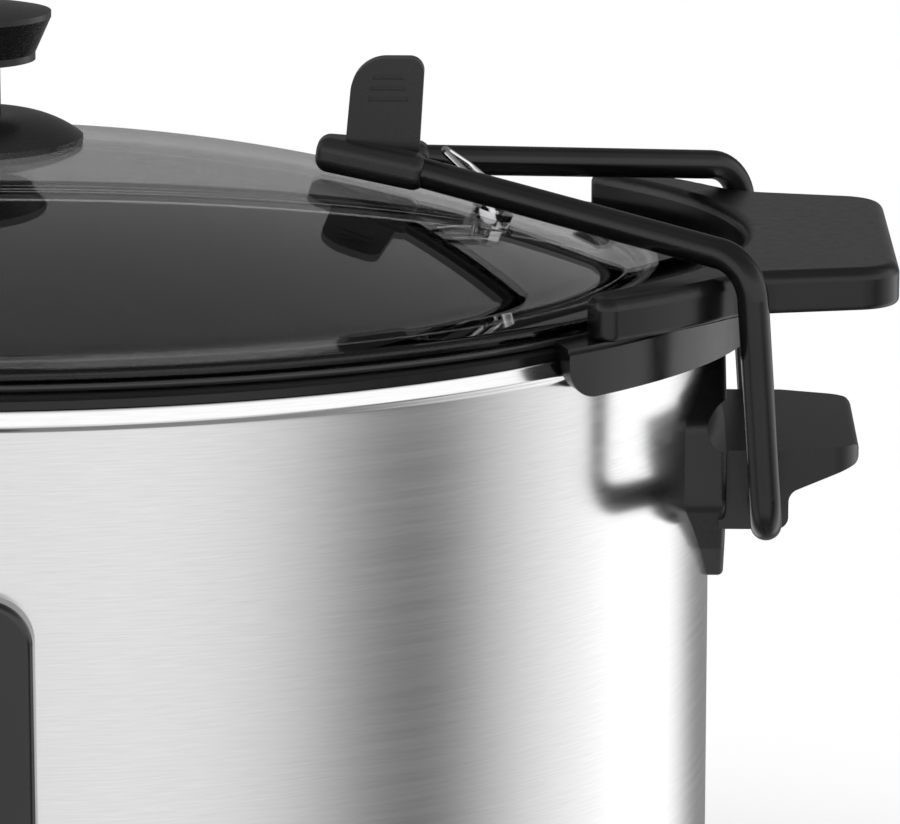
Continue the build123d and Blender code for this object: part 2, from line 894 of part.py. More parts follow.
# Pull ring: its straight bar turns in the stud
ring_plane = Plane(
    ring_pivot,
    x_dir=(0, 1, 0),
    z_dir=(cos(radians(ring_lean)), 0, sin(radians(ring_lean))),
)
with BuildPart() as pull_ring:
    with BuildLine(ring_plane):
        for hand in (1, -1):
            FilletPolyline(
                (0, 0),
                (hand * ring_half_width, 0),
                (hand * ring_half_width, ring_shoulder),
                (hand * ring_top_half_width, ring_length),
                (0, ring_length),
                radius=[ring_corner, ring_shoulder_round, ring_top_round],
            )
    with BuildSketch(Plane(ring_pivot, z_dir=(0, 1, 0))):
        Circle(ring_wire_radius)
    sweep()
pull_ring.part.label = "pull_ring"
export_step(pull_ring.part, "parts/pull_ring.step")

# Wire bail with its ends turned in to the handle
with BuildPart() as bail_wire_right:
    with BuildLine():
        bail_path()
    with BuildSketch(Plane((hinge_x, oval_y - pin_inner_end, hinge_z), z_dir=(0, -1, 0))):
        Circle(wire_radius)
    sweep()
bail_wire_right.part.label = "bail_wire_right"
export_step(bail_wire_right.part, "parts/bail_wire_right.step")

with BuildPart() as bail_cut:
    with BuildLine():
        bail_path()
    with BuildSketch(Plane((hinge_x, oval_y - pin_inner_end, hinge_z), z_dir=(0, -1, 0))):
        Circle(wire_radius + wire_play)
    sweep()

# Thumb grip: arrowhead round the bail's tip with an upright fin
tail_middle = grip_tail * arm_slope
with BuildPart() as latch_grip_right:
    with BuildSketch(arm_plane) as grip_plan:
        Polygon(
            (-grip_nose, grip_nose_half_width),
            (-grip_nose, -grip_nose_half_width),
            (grip_tail, -tail_middle - grip_side),
            (grip_tail, -tail_middle + grip_side),
            (grip_notch, 0),
            (grip_tail, tail_middle - grip_side),
            (grip_tail, tail_middle + grip_side),
            align=None,
        )
        fillet(grip_plan.vertices(), grip_corner_round)
    extrude(amount=grip_half_height, both=True)
    grip_faces = latch_grip_right.faces().filter_by(GeomType.PLANE).sort_by(Axis.Z)
    fillet(grip_faces[-1].edges() + grip_faces[0].edges(), grip_edge)
    with BuildSketch(front) as fin_plan:
        Polygon(
            (fin_foot_x, ear_top + fin_foot_rise),
            (apex_x + grip_notch, ear_top + fin_foot_rise),
            (fin_tail_x, ear_top + fin_tail_rise),
            (fin_tail_x + fin_tail_lean, ear_top + fin_rise),
            (fin_foot_x + fin_lean, ear_top + fin_rise),
            align=None,
        )
        fillet(fin_plan.vertices().group_by(Axis.Y)[-1].sort_by(Axis.X)[0], fin_big_corner)
        fillet(fin_plan.vertices().group_by(Axis.Y)[-1].sort_by(Axis.X)[-1], fin_small_corner)
    extrude(amount=fin_thickness / 2, both=True)
    for count in range(fin_groove_count):
        groove_z = ear_top + fin_rise - fin_groove_drop - count * fin_groove_pitch
        with Locations(
            (fin_groove_x, oval_y - fin_thickness / 2, groove_z),
            (fin_groove_x, oval_y + fin_thickness / 2, groove_z),
        ):
            Box(
                fin_groove_length + count * fin_groove_growth,
                2 * fin_groove_depth,
                fin_groove_height,
                mode=Mode.SUBTRACT,
            )
    add(bail_cut.part, mode=Mode.SUBTRACT)
latch_grip_right.part.label = "latch_grip_right"
export_step(latch_grip_right.part, "parts/latch_grip_right.step")

with BuildPart() as bail_wire_left:
    mirror(bail_wire_right.part, about=Plane.YZ)
bail_wire_left.part.label = "bail_wire_left"
export_step(bail_wire_left.part, "parts/bail_wire_left.step")

with BuildPart() as latch_grip_left:
    mirror(latch_grip_right.part, about=Plane.YZ)
latch_grip_left.part.label = "latch_grip_left"
export_step(latch_grip_left.part, "parts/latch_grip_left.step")

# Side handle: plate on the shell, grip shelf, hinge block and a finger scoop
bush_start = block_half_width - bush_length
with BuildPart() as handle_right:
    with BuildSketch(side.offset(plate_root)) as plate_plan:
        Polygon(
            (-leg_half_width, ear_top - plate_top_drop),
            (leg_half_width, ear_top - plate_top_drop),
            (plate_half_width, ear_top - plate_wide_top),
            (plate_half_width, ear_top - plate_wide_bottom),
            (plate_mid_half_width, ear_top - plate_mid_drop),
            (leg_half_width, ear_top - plate_bottom_drop),
            (-leg_half_width, ear_top - plate_bottom_drop),
            (-plate_mid_half_width, ear_top - plate_mid_drop),
            (-plate_half_width, ear_top - plate_wide_bottom),
            (-plate_half_width, ear_top - plate_wide_top),
            align=None,
        )
        fillet(plate_plan.vertices(), plate_corner)
    extrude(amount=plate_face - plate_root)
    fillet(handle_right.faces().sort_by(Axis.X)[-1].edges(), plate_edge)
    scoop_x = plate_face - scoop_depth + scoop_radius
    with BuildSketch(front):
        with Locations((scoop_x, ear_top - grip_drop + scoop_radius)):
            Circle(scoop_radius)
    revolve(axis=Axis((scoop_x - scoop_bend, oval_y, 0), (0, 0, 1)), mode=Mode.SUBTRACT)
    with BuildSketch(front) as block_plan:
        Polygon(
            (block_root, ear_top - grip_drop),
            (grip_tip, ear_top - grip_drop),
            (grip_tip, ear_top - grip_drop - grip_tip_thickness),
            (block_outer, ear_top - grip_root_drop),
            (block_outer, ear_top - block_bottom_drop),
            (block_root, ear_top - block_bottom_drop),
            align=None,
        )
        fillet(block_plan.vertices().group_by(Axis.X)[1], block_round)
        fillet(block_plan.vertices().group_by(Axis.X)[-1], grip_tip_round)
    extrude(amount=block_half_width, both=True)
    with BuildSketch(level.offset(ear_top - block_bottom_drop)) as grip_outline:
        Polygon(
            (block_outer, grip_root_half_width),
            (grip_tip, grip_tip_half_width),
            (grip_tip, -grip_tip_half_width),
            (block_outer, -grip_root_half_width),
            align=None,
        )
        fillet(grip_outline.vertices().group_by(Axis.X)[-1], grip_corner)
        with Locations((block_outer, 0)):
            Rectangle(
                block_outer,
                2 * plate_half_width,
                align=(Align.MAX, Align.CENTER),
            )
    extrude(amount=cut_length, both=True, mode=Mode.INTERSECT)
    oval(shell_half_length, shell_half_width, 0, ear_top, Mode.SUBTRACT)
    with BuildSketch(front.offset(bush_start)):
        with Locations((hinge_x, hinge_z)):
            Circle(bush_radius)
    extrude(amount=bush_length, mode=Mode.SUBTRACT)
    with BuildSketch(front.offset(-bush_start)):
        with Locations((hinge_x, hinge_z)):
            Circle(bush_radius)
    extrude(amount=-bush_length, mode=Mode.SUBTRACT)
    with BuildSketch(side):
        with Locations(*[(0, ear_top - drop) for drop in handle_screw_drops]):
            Circle(handle_screw_radius)
    extrude(amount=shell_half_length + handle_screw_bite, mode=Mode.SUBTRACT)
handle_right.part.label = "handle_right"
export_step(handle_right.part, "parts/handle_right.step")

with BuildPart() as handle_left:
    mirror(handle_right.part, about=Plane.YZ)
handle_left.part.label = "handle_left"
export_step(handle_left.part, "parts/handle_left.step")

# Bushes that the bail's ends turn in
with BuildPart() as bail_bushes:
    with BuildSketch(front.offset(bush_start)):
        with Locations((hinge_x, hinge_z), (-hinge_x, hinge_z)):
            Circle(bush_radius)
            Circle(wire_radius + pin_play, mode=Mode.SUBTRACT)
    extrude(amount=bush_length)
    with BuildSketch(front.offset(-bush_start)):
        with Locations((hinge_x, hinge_z), (-hinge_x, hinge_z)):
            Circle(bush_radius)
            Circle(wire_radius + pin_play, mode=Mode.SUBTRACT)
    extrude(amount=-bush_length)
bail_bushes.part.label = "bail_bushes"
export_step(bail_bushes.part, "parts/bail_bushes.step")

# Screws driven into the handles from inside the shell
screw_seat = shell_in_length - handle_screw_seat
with BuildPart() as handle_screws:
    with BuildSketch(side.offset(screw_seat)):
        with Locations(*[(0, ear_top - drop) for drop in handle_screw_drops]):
            Circle(handle_screw_head_radius)
    extrude(amount=-handle_screw_head)
    with BuildSketch(side.offset(screw_seat)):
        with Locations(*[(0, ear_top - drop) for drop in handle_screw_drops]):
            Circle(handle_screw_radius)
    extrude(amount=shell_half_length + handle_screw_bite - screw_seat)
    mirror(about=Plane.YZ)
handle_screws.part.label = "handle_screws"
export_step(handle_screws.part, "parts/handle_screws.step")

# Control panel wrapped to the front of the shell
with BuildPart() as control_panel:
    with BuildSketch(front):
        with Locations((0, panel_middle)):
            RectangleRounded(panel_width, panel_top - panel_bottom, panel_corner)
    extrude(amount=cut_length)
    oval(
        shell_half_length + panel_proud,
        panel_front,
        panel_bottom,
        panel_top - panel_bottom,
        Mode.INTERSECT,
    )
    fillet(control_panel.faces().sort_by(Axis.Y)[0].edges(), panel_edge)
    oval(
        shell_half_length,
        shell_half_width,
        panel_bottom,
        panel_top - panel_bottom,
        Mode.SUBTRACT,
    )
    with BuildSketch(front):
        with Locations((0, dial_height)):
            Circle(switch_neck_radius)
        with Locations((0, lens_height)):
            Circle(lens_radius)
    extrude(amount=cut_length, mode=Mode.SUBTRACT)
control_panel.part.label = "control_panel"
export_step(control_panel.part, "parts/control_panel.step")

# Indicator lens pressed into the panel
with BuildPart() as indicator_lens:
    with BuildSketch(front.offset(panel_front + lens_dome)):
        with Locations((0, lens_height)):
            Circle(lens_radius)
    extrude(amount=-lens_length)
    fillet(indicator_lens.edges().group_by(Axis.Y)[0], lens_dome)
indicator_lens.part.label = "indicator_lens"
export_step(indicator_lens.part, "parts/indicator_lens.step")

# Rotary switch behind the panel, its neck pressed into the panel
switch_front = shell_in_width - switch_setback
with BuildPart() as rotary_switch:
    with BuildSketch(front.offset(switch_front)):
        with Locations((0, dial_height)):
            Rectangle(switch_size, switch_size)
    extrude(amount=-switch_depth)
    with BuildSketch(front.offset(switch_front)):
        with Locations((0, dial_height)):
            Circle(switch_neck_radius)
    extrude(amount=panel_front - switch_front)
    with BuildSketch(front.offset(switch_front - shaft_tail)):
        with Locations((0, dial_height)):
            Circle(shaft_radius + shaft_play)
    extrude(amount=cut_length, mode=Mode.SUBTRACT)
rotary_switch.part.label = "rotary_switch"
export_step(rotary_switch.part, "parts/rotary_switch.step")

# Shaft, dial and pointer turn together
with BuildPart() as switch_shaft:
    with BuildSketch(front.offset(switch_front - shaft_tail + screw_play)):
        with Locations((0, dial_height)):
            Circle(shaft_radius)
    extrude(amount=dial_back + shaft_bite - switch_front + shaft_tail - screw_play)
switch_shaft.part.label = "switch_shaft"
export_step(switch_shaft.part, "parts/switch_shaft.step")

with BuildPart() as dial_knob:
    with BuildSketch(front.offset(dial_back)):
        with Locations((0, dial_height)):
            Circle(dial_radius)
    extrude(amount=dial_skirt)
    fillet(dial_knob.edges().group_by(Axis.Y)[0], dial_bar_edge)
    with BuildSketch(front.offset(dial_back)):
        with Locations((0, dial_height)):
            SlotOverall(dial_bar_length, 2 * dial_bar_half_width, rotation=90)
    extrude(amount=dial_depth)
    fillet(dial_knob.edges().group_by(Axis.Y)[0], dial_bar_edge)
    with BuildSketch(front.offset(dial_back)):
        with Locations((0, dial_height)):
            Circle(shaft_radius)
    extrude(amount=shaft_bite, mode=Mode.SUBTRACT)
    with BuildSketch(front.offset(dial_front)):
        with Locations((0, dial_height + dial_bar_length / 2 - pointer_inset)):
            Rectangle(pointer_width, pointer_length, align=(Align.CENTER, Align.MAX))
    extrude(amount=-pointer_depth, mode=Mode.SUBTRACT)
dial_knob.part.label = "dial_knob"
export_step(dial_knob.part, "parts/dial_knob.step")

with BuildPart() as dial_pointer:
    with BuildSketch(front.offset(dial_front)):
        with Locations((0, dial_height + dial_bar_length / 2 - pointer_inset)):
            Rectangle(pointer_width, pointer_length, align=(Align.CENTER, Align.MAX))
    extrude(amount=-pointer_depth)
dial_pointer.part.label = "dial_pointer"
export_step(dial_pointer.part, "parts/dial_pointer.step")
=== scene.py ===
import json
import math
import bpy
import numpy as np
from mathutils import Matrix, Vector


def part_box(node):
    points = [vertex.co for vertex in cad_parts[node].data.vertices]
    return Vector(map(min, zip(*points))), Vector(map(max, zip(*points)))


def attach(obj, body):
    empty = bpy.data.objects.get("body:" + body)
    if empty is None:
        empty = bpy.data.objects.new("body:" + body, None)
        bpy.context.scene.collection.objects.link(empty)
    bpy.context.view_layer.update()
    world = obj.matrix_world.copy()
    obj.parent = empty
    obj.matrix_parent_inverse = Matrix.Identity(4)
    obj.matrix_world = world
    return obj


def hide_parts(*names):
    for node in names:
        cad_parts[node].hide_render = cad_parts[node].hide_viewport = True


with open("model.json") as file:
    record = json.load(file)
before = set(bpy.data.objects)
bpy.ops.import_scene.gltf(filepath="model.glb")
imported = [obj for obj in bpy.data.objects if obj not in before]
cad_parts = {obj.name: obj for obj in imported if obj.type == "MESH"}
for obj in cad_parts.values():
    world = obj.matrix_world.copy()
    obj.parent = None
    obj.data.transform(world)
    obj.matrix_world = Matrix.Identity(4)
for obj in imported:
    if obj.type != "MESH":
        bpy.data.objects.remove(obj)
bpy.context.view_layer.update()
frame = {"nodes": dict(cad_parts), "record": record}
nodes = frame["nodes"]
perMetre = 1000  # profiles are written in millimetres, meshes are in metres
noiseSpan = (0.3, 0.7)  # nearly all of a noise texture lies between these


# middle of a CAD node's box, in mm
def middleOf(node):
    low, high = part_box(node)
    return np.add(low, high) / 2 * perMetre


ovalY = middleOf("crock")[1]  # the oval's middle, behind the origin
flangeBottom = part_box("lid_gasket")[1].z * perMetre  # the glass lies on the gasket
print("stage: frame loaded,", len(nodes), "nodes")


# node material with its own shader
def newMaterial(name):
    mat = bpy.data.materials.new(name)
    mat.use_nodes = True
    tree = mat.node_tree
    return mat, tree, tree.nodes["Principled BSDF"]


# node with some inputs set, an underscore in a name standing for a space
def addNode(tree, kind, **inputs):
    node = tree.nodes.new(kind)
    for key, value in inputs.items():
        node.inputs[key.replace("_", " ")].default_value = value
    return node


# two values joined by one operation, such as the larger of both
def mathNode(tree, operation, first, second):
    node = tree.nodes.new("ShaderNodeMath")
    node.operation = operation
    tree.links.new(first, node.inputs[0])
    tree.links.new(second, node.inputs[1])
    return node.outputs["Value"]


# noise on object or UV coordinates, scaled by (x, y, z) per metre
def noiseOn(tree, scale, detail, rough=0.55, source="Object"):
    coords = tree.nodes.new("ShaderNodeTexCoord")
    mapping = addNode(tree, "ShaderNodeMapping", Scale=scale)
    noise = addNode(tree, "ShaderNodeTexNoise", Scale=1.0, Detail=detail, Roughness=rough)
    tree.links.new(coords.outputs[source], mapping.inputs["Vector"])
    tree.links.new(mapping.outputs["Vector"], noise.inputs["Vector"])
    return noise.outputs["Fac"]


# value that runs from low to high as the factor crosses the noise's span
def spread(tree, fac, low, high):
    start, end = noiseSpan
    rangeNode = addNode(tree, "ShaderNodeMapRange", From_Min=start, From_Max=end, To_Min=low, To_Max=high)
    tree.links.new(fac, rangeNode.inputs["Value"])
    return rangeNode.outputs["Result"]


# colour that runs from dark to light as the factor crosses the noise's span
def tintBetween(tree, fac, dark, light):
    ramp = tree.nodes.new("ShaderNodeValToRGB")
    for stop, position, colour in zip(ramp.color_ramp.elements, noiseSpan, (dark, light)):
        stop.position = position
        stop.color = (*colour, 1)
    tree.links.new(fac, ramp.inputs["Fac"])
    return ramp.outputs["Color"]


# surface relief from a factor, its distance in metres
def bumpFrom(tree, shader, fac, strength, distance):
    bump = addNode(tree, "ShaderNodeBump", Strength=strength, Distance=distance)
    tree.links.new(fac, bump.inputs["Height"])
    tree.links.new(bump.outputs["Normal"], shader.inputs["Normal"])


# neutral colour of one level
def grey(level):
    return (level,) * 3


# brushed steel: streaks run round the oval on the wall's UV map, so the noise is squeezed across them
steelValues = {
    "name": "brushedSteel", "streakScale": (110, 2900, 1), "streakDetail": 5.0, "streakRough": 0.6,
    "cloudScale": (8, 700, 1), "cloudDetail": 2.0, "dark": grey(0.80), "light": grey(0.87),
    "roughLow": 0.175, "roughHigh": 0.205, "anisotropy": 0.5, "bump": 0.025, "bumpDepth": 0.00003,
}


def brushedSteel(values):
    mat, tree, shader = newMaterial(values["name"])
    streaks = noiseOn(
        tree, values["streakScale"], values["streakDetail"], values["streakRough"], source="UV")
    cloud = noiseOn(tree, values["cloudScale"], values["cloudDetail"], source="UV")
    tint = tintBetween(tree, streaks, values["dark"], values["light"])
    tree.links.new(tint, shader.inputs["Base Color"])
    tree.links.new(spread(tree, cloud, values["roughLow"], values["roughHigh"]), shader.inputs["Roughness"])
    shader.inputs["Metallic"].default_value = 1.0
    shader.inputs["Anisotropic"].default_value = values["anisotropy"]
    tangent = tree.nodes.new("ShaderNodeTangent")
    tangent.direction_type = "RADIAL"
    tangent.axis = "Z"
    tree.links.new(tangent.outputs["Tangent"], shader.inputs["Tangent"])
    bumpFrom(tree, shader, streaks, values["bump"], values["bumpDepth"])
    return mat


# moulded or coated finish: fine grain in bump and roughness, faint colour cloud
plainLook = {
    "grainDetail": 3.0, "cloudDetail": 2.0, "metal": 0.0, "coat": 0.0, "coatRough": 0.1, "specular": 0.5,
}
mouldedValues = [
    {"name": "blackMoulding", "grain": 2600, "cloud": 40, "dark": grey(0.008), "light": grey(0.012),
     "roughLow": 0.26, "roughHigh": 0.36, "bump": 0.05, "bumpDepth": 0.00006, "specular": 0.45},
    {"name": "knobMoulding", "grain": 2200, "cloud": 40, "dark": grey(0.007), "light": grey(0.011),
     "roughLow": 0.24, "roughHigh": 0.34, "bump": 0.08, "bumpDepth": 0.00006},
    {"name": "blackGlaze", "grain": 420, "cloud": 25, "dark": grey(0.003), "light": grey(0.006),
     "roughLow": 0.20, "roughHigh": 0.27, "bump": 0.008, "bumpDepth": 0.0001, "specular": 0.4},
    {"name": "coatedWire", "grain": 1800, "cloud": 60, "dark": grey(0.004), "light": grey(0.007),
     "roughLow": 0.12, "roughHigh": 0.19, "bump": 0.03, "bumpDepth": 0.00005, "specular": 0.4},
    {"name": "panelGloss", "grain": 900, "cloud": 30, "dark": grey(0.004), "light": grey(0.007),
     "roughLow": 0.08, "roughHigh": 0.14, "bump": 0.03, "bumpDepth": 0.00005,
     "coat": 0.25, "coatRough": 0.04},
    {"name": "blackRubber", "grain": 1500, "cloud": 60, "dark": grey(0.03), "light": grey(0.04),
     "roughLow": 0.55, "roughHigh": 0.75, "bump": 0.2, "bumpDepth": 0.0001},
    # near-black finish for the bore's disc: painted shade standing in for the dark inside of the hole
    {"name": "paintedBoreShade", "grain": 1500, "cloud": 60, "dark": grey(0.001), "light": grey(0.002),
     "roughLow": 0.8, "roughHigh": 0.95, "bump": 0.05, "bumpDepth": 0.00005, "specular": 0.1},
    {"name": "brightChrome", "grain": 700, "cloud": 60,
     "dark": (0.72, 0.72, 0.73), "light": (0.82, 0.82, 0.83),
     "roughLow": 0.06, "roughHigh": 0.12, "bump": 0.03, "bumpDepth": 0.00003, "metal": 1.0},
    {"name": "zincPlate", "grain": 900, "cloud": 120,
     "dark": (0.55, 0.56, 0.57), "light": (0.72, 0.73, 0.74),
     "roughLow": 0.28, "roughHigh": 0.42, "bump": 0.08, "bumpDepth": 0.00005, "metal": 1.0},
    {"name": "linerCoat", "grain": 1200, "cloud": 30,
     "dark": (0.16, 0.16, 0.17), "light": (0.24, 0.24, 0.25),
     "roughLow": 0.45, "roughHigh": 0.6, "bump": 0.12, "bumpDepth": 0.0001},
    {"name": "palePlastic", "grain": 1500, "cloud": 60,
     "dark": (0.62, 0.60, 0.53), "light": (0.72, 0.70, 0.63),
     "roughLow": 0.4, "roughHigh": 0.55, "bump": 0.08, "bumpDepth": 0.00006},
    {"name": "redLens", "grain": 600, "cloud": 200,
     "dark": (0.45, 0.03, 0.015), "light": (0.62, 0.06, 0.03),
     "roughLow": 0.08, "roughHigh": 0.15, "bump": 0.03, "bumpDepth": 0.00004,
     "coat": 0.6, "coatRough": 0.03},
    {"name": "whiteMark", "grain": 1500, "cloud": 200,
     "dark": (0.74, 0.74, 0.73), "light": (0.82, 0.82, 0.81),
     "roughLow": 0.4, "roughHigh": 0.5, "bump": 0.03, "bumpDepth": 0.00003},
]


def mouldedFinish(values):
    look = plainLook | values
    mat, tree, shader = newMaterial(look["name"])
    grain = noiseOn(tree, (look["grain"],) * 3, look["grainDetail"])
    cloud = noiseOn(tree, (look["cloud"],) * 3, look["cloudDetail"])
    tint = tintBetween(tree, cloud, look["dark"], look["light"])
    tree.links.new(tint, shader.inputs["Base Color"])
    tree.links.new(spread(tree, grain, look["roughLow"], look["roughHigh"]), shader.inputs["Roughness"])
    shader.inputs["Metallic"].default_value = look["metal"]
    shader.inputs["Coat Weight"].default_value = look["coat"]
    shader.inputs["Coat Roughness"].default_value = look["coatRough"]
    shader.inputs["Specular IOR Level"].default_value = look["specular"]
    bumpFrom(tree, shader, grain, look["bump"], look["bumpDepth"])
    return mat


# smoked glass: clear transmission with a grey tint, faintly uneven in tint and gloss
glassValues = {
    "name": "smokedGlass", "ior": 1.45, "ripple": 60, "rippleDetail": 1.0,
    "dark": grey(0.51), "light": grey(0.53), "roughLow": 0.0, "roughHigh": 0.008,
}


def smokedGlass(values):
    mat, tree, shader = newMaterial(values["name"])
    shader.inputs["Transmission Weight"].default_value = 1.0
    shader.inputs["IOR"].default_value = values["ior"]
    ripple = noiseOn(tree, (values["ripple"],) * 3, values["rippleDetail"])
    tint = tintBetween(tree, ripple, values["dark"], values["light"])
    tree.links.new(tint, shader.inputs["Base Color"])
    tree.links.new(spread(tree, ripple, values["roughLow"], values["roughHigh"]), shader.inputs["Roughness"])
    return mat


# glaze with a painted highlight: it turns to a pale metallic line over an edge, by the piece's own "edge"
# attribute
paintedHighlightValues = {
    "name": "rimPaintedHighlight", "dark": grey(0.03), "light": (0.95, 0.95, 0.94), "metal": 1.0,
    "grain": 300, "grainDetail": 2.0, "roughLow": 0.08, "roughHigh": 0.14,
}


def glazeWithPaintedHighlight(values):
    mat, tree, shader = newMaterial(values["name"])
    edge = tree.nodes.new("ShaderNodeAttribute")
    edge.attribute_name = "edge"
    tint = tintBetween(tree, edge.outputs["Fac"], values["dark"], values["light"])
    tree.links.new(tint, shader.inputs["Base Color"])
    tree.links.new(spread(tree, edge.outputs["Fac"], 0.0, values["metal"]), shader.inputs["Metallic"])
    grain = noiseOn(tree, (values["grain"],) * 3, values["grainDetail"])
    tree.links.new(spread(tree, grain, values["roughLow"], values["roughHigh"]), shader.inputs["Roughness"])
    return mat


finish = {values["name"]: mouldedFinish(values) for values in mouldedValues}
finish["brushedSteel"] = brushedSteel(steelValues)
finish["smokedGlass"] = smokedGlass(glassValues)
finish["rimPaintedHighlight"] = glazeWithPaintedHighlight(paintedHighlightValues)
slotFinish = {
    "steel": "brushedSteel", "black_plastic": "blackMoulding", "rubber": "blackRubber",
    "liner_metal": "linerCoat", "heater": "zincPlate", "zinc": "zincPlate", "fuse": "palePlastic",
    "pale_plastic": "palePlastic", "panel_plastic": "panelGloss", "lens": "redLens",
    "stoneware": "blackGlaze", "smoked_glass": "smokedGlass", "knob_plastic": "knobMoulding",
    "chrome": "brightChrome", "coated_wire": "coatedWire", "pointer": "whiteMark",
}
for entry in frame["record"]["subparts"]:
    obj = nodes[entry["node"]]
    obj.data.materials.clear()
    obj.data.materials.append(finish[slotFinish[entry["material_slot"]]])
print("stage: finishes set")


# the four corners of every cell of a grid
def cellCorners(grid):
    return np.stack([grid[:-1, :-1], grid[:-1, 1:], grid[1:, 1:], grid[1:, :-1]], 2)


# grid surface from an (rows, columns, 3) array of points; a closed way joins its last line to its first,
# and a UV map has one line more there, so that it runs on over the seam
def gridMesh(name, points, closedU=False, closedV=False, smooth=True, uv=None):
    rows, cols = points.shape[:2]
    index = np.arange(rows * cols).reshape(rows, cols)
    index = np.pad(index, ((0, int(closedU)), (0, int(closedV))), mode="wrap")
    mesh = bpy.data.meshes.new(name)
    mesh.from_pydata(points.reshape(-1, 3).tolist(), [], cellCorners(index).reshape(-1, 4).tolist())
    mesh.polygons.foreach_set("use_smooth", np.full(len(mesh.polygons), smooth))
    if uv is not None:
        layer = mesh.uv_layers.new(name="UVMap")
        layer.data.foreach_set("uv", cellCorners(uv).astype(np.float32).ravel())
    mesh.update()
    obj = bpy.data.objects.new(name, mesh)
    bpy.context.scene.collection.objects.link(obj)
    return obj


# one value for each point of a piece, for its material to read
def pointValues(piece, name, values):
    attribute = piece.data.attributes.new(name, "FLOAT", "POINT")
    attribute.data.foreach_set("value", np.ravel(values).astype(np.float32))


# angles of a full turn in so many steps, the last step left to the closing seam
def turnAngles(steps):
    return np.linspace(0, math.tau, steps, endpoint=False)


# elliptical ring: a profile of (offset from the oval, height) carried round the oval's half axes,
# x = -(halfLength + offset) * sin t, y = ovalY + (halfWidth + offset) * cos t
def ovalRing(halfLength, halfWidth, profile, turns):
    offset, height = np.array(profile, float).T[:, :, None]
    angle = turnAngles(turns)
    return np.stack([-(halfLength + offset) * np.sin(angle), ovalY + (halfWidth + offset) * np.cos(angle),
                     np.repeat(height, turns, 1)], -1) / perMetre


# lengths from the start of a line of points to each of them
def runLengths(line):
    return np.concatenate([[0], np.cumsum(np.linalg.norm(np.diff(line, axis=0), axis=1))])


# UV map of a closed ring in metres: length round its first line, length along its profile
def ringMap(points):
    closed = np.pad(points, ((0, 1), (0, 1), (0, 0)), mode="wrap")
    return np.stack(np.meshgrid(runLengths(closed[0]), runLengths(closed[:, 0])), -1)


# steel wall with its leaning rolled bead, in place of the plain shell;
# its profile of (offset, height) runs up outside, over the bead and down inside
shellValues = {
    "halfLength": 155.9, "halfWidth": 129.5, "turns": 720, "wall": 1.0, "innerFoot": 12.05,
    "outside": (12.0, 195.1), "outsideRows": 60, "inside": (190.0, 14.0), "insideRows": 6,
    "bead": [(0.0, 195.4), (0.03, 195.62), (0.12, 195.85), (0.36, 196.15), (0.64, 196.45), (0.84, 196.75),
             (0.9, 197.0), (0.86, 197.3), (0.62, 198.2), (0.36, 199.1), (0.24, 199.6), (0.1, 199.82),
             (-0.3, 199.88), (-0.8, 199.86), (-1.0, 199.6), (-1.0, 197.0)],
}
outsideHeights = np.linspace(*shellValues["outside"], shellValues["outsideRows"])
insideHeights = np.linspace(*shellValues["inside"], shellValues["insideRows"])
shellProfile = [(-shellValues["wall"], shellValues["innerFoot"])]
shellProfile += [(0.0, height) for height in outsideHeights]
shellProfile += shellValues["bead"]
shellProfile += [(-shellValues["wall"], height) for height in insideHeights]
shellPoints = ovalRing(
    shellValues["halfLength"], shellValues["halfWidth"], shellProfile, shellValues["turns"])
steelShell = gridMesh("steelShell", shellPoints, closedU=True, closedV=True, uv=ringMap(shellPoints))
steelShell.data.materials.append(finish["brushedSteel"])
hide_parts("outer_shell")
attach(steelShell, "housing")


# arc of a profile: (x, z) = centre + radius * (sin t, cos t)
def arcPoints(centreX, centreZ, radius, start, end, count):
    turn = np.linspace(start, end, count)
    return np.stack([centreX + radius * np.sin(turn), centreZ + radius * np.cos(turn)], -1)


# inner points of a straight run at one height, its two ends left to the arcs beside it
def levelPoints(startX, endX, height, count):
    return np.stack([np.linspace(startX, endX, count), np.full(count, height)], -1)[1:-1]


# smooth lid: the CAD's dome arc, blend arc and flange turned about the middle and squeezed to the oval
lidValues = {
    "halfLength": 155.5, "halfWidth": 122.0, "thick": 2.8, "edge": 1.1, "hole": 2.4, "domeTop": 230.9,
    "domeRadius": 380.0, "blendRadius": 20.0, "turns": 420, "domeRows": 60, "blendRows": 14, "flangeRows": 8,
    "edgeRows": 7,
}
thick = lidValues["thick"]
edge = lidValues["edge"]
domeRadius = lidValues["domeRadius"]
blendRadius = lidValues["blendRadius"]
flangeTop = flangeBottom + thick
domeCentre = lidValues["domeTop"] - domeRadius
blendCentre = flangeTop + blendRadius
blendX = math.sqrt((domeRadius + blendRadius) ** 2 - (blendCentre - domeCentre) ** 2)
edgeX = lidValues["halfLength"] - edge
domeStart = math.asin(lidValues["hole"] / domeRadius)
domeEnd = math.atan2(blendX, blendCentre - domeCentre)
blendStart = math.pi + domeEnd
quarter = math.pi / 2
lidProfile = np.concatenate([
    arcPoints(0, domeCentre, domeRadius, domeStart, domeEnd, lidValues["domeRows"]),
    arcPoints(blendX, blendCentre, blendRadius, blendStart, math.pi, lidValues["blendRows"])[1:],
    levelPoints(blendX, edgeX, flangeTop, lidValues["flangeRows"]),
    arcPoints(edgeX, flangeTop - edge, edge, 0, quarter, lidValues["edgeRows"]),
    arcPoints(edgeX, flangeBottom + edge, edge, quarter, math.pi, lidValues["edgeRows"]),
    levelPoints(edgeX, blendX, flangeBottom, lidValues["flangeRows"]),
    arcPoints(blendX, blendCentre, blendRadius + thick, math.pi, blendStart, lidValues["blendRows"]),
    arcPoints(0, domeCentre, domeRadius - thick, domeEnd, domeStart, lidValues["domeRows"])[1:],
])
lidX, lidZ = lidProfile.T[:, :, None]
lidAngle = turnAngles(lidValues["turns"])
squeeze = lidValues["halfWidth"] / lidValues["halfLength"]
lidPoints = np.stack([lidX * np.cos(lidAngle), ovalY + squeeze * lidX * np.sin(lidAngle),
                      np.repeat(lidZ, lidValues["turns"], 1)], -1)[::-1] / perMetre
